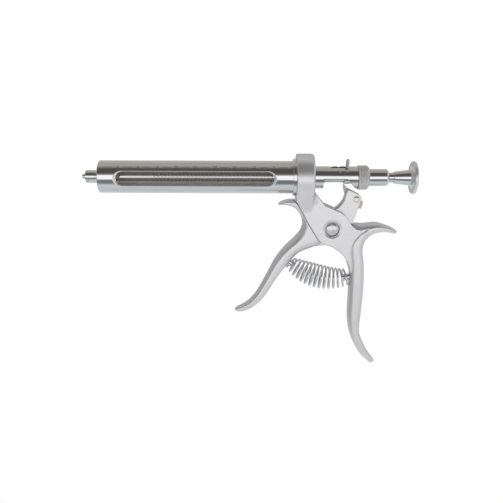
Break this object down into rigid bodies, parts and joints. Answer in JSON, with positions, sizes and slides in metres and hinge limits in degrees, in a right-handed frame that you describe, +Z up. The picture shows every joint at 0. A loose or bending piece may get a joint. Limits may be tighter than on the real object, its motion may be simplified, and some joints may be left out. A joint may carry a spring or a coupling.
{
  "type": "repeating syringe",
  "caption": "Metal repeating syringe with pistol-grip squeeze handles, windowed barrel, toothed rod with pawl, dose collar and disc knob.",
  "frame": {"origin": "on the barrel's axis, at the casing's front face that the needle hub seats on", "axes": "+X along the barrel from the needle end to the thumb knob, +Z up away from the handles, +Y across; the screw head of the pivot is on the -Y side"},
  "size_m": [0.2773, 0.039, 0.1862],
  "materials": {
    "satin_casting": "fine bead-blasted satin chrome on a brass casting",
    "polished_tube": "mirror polished plated tube",
    "rod_steel": "polished turned steel",
    "glass": "clear borosilicate glass",
    "seal_rubber": "black rubber",
    "bush_brass": "turned brass",
    "spring_steel": "bright drawn spring wire",
    "pawl_steel": "ground hardened steel",
    "rivet_steel": "polished rivet head",
    "knurled_steel": "diamond knurled, plated"
  },
  "bodies": {
    "frame": {"fixed_handle": "satin_casting", "barrel_casing": "polished_tube", "glass_cylinder": "glass", "front_seal": "seal_rubber", "rear_seal": "seal_rubber", "barrel_lock_ring": "polished_tube", "luer_hub": "polished_tube", "guide_tube": "polished_tube", "rod_guide_bush": "bush_brass", "collar_clip": "spring_steel", "pivot_screw": "polished_tube", "pivot_nut": "polished_tube", "pivot_bush": "bush_brass", "pivot_washers": "rod_steel", "rear_spring_peg": "rod_steel", "handle_spring": "spring_steel"},
    "lever": {"trigger_lever": "satin_casting", "front_spring_peg": "rod_steel", "pawl_rivet": "rivet_steel", "pawl_spring": "spring_steel"},
    "pawl": {"pawl": "pawl_steel"},
    "rod": {"toothed_rod": "rod_steel", "piston_cap": "rod_steel", "piston_seal": "seal_rubber", "piston_body": "rod_steel", "piston_nut": "rod_steel", "thumb_knob": "polished_tube", "knob_screw": "polished_tube"},
    "dose_collar": {"knurled_collar": "knurled_steel"},
    "dose_sleeve": {"dose_sleeve": "polished_tube", "dose_pin": "polished_tube"}
  },
  "joints": [
    {"name": "lever_squeeze", "type": "hinge", "parent": "frame", "child": "lever", "pos_m": [0.1945, 0, -0.0428], "axis": [0, -1, 0], "range_deg": [0, 23.6], "deforming": ["handle_spring"]},
    {"name": "rod_slide", "type": "slide", "parent": "frame", "child": "rod", "axis": [1, 0, 0], "range_m": [0, 0.15915]},
    {"name": "pawl_release", "type": "hinge", "parent": "lever", "child": "pawl", "pos_m": [0.2143, 0, -0.0179], "axis": [0, -1, 0], "range_deg": [0, 10], "deforming": ["pawl_spring"]},
    {"name": "dose_turn", "type": "hinge", "parent": "frame", "child": "dose_collar", "pos_m": [0.2201, 0, 0], "axis": [-1, 0, 0], "range_deg": [0, 35]},
    {"name": "dose_slide", "type": "slide", "parent": "dose_collar", "child": "dose_sleeve", "axis": [-1, 0, 0], "range_m": [0, 0.01273]}
  ]
}
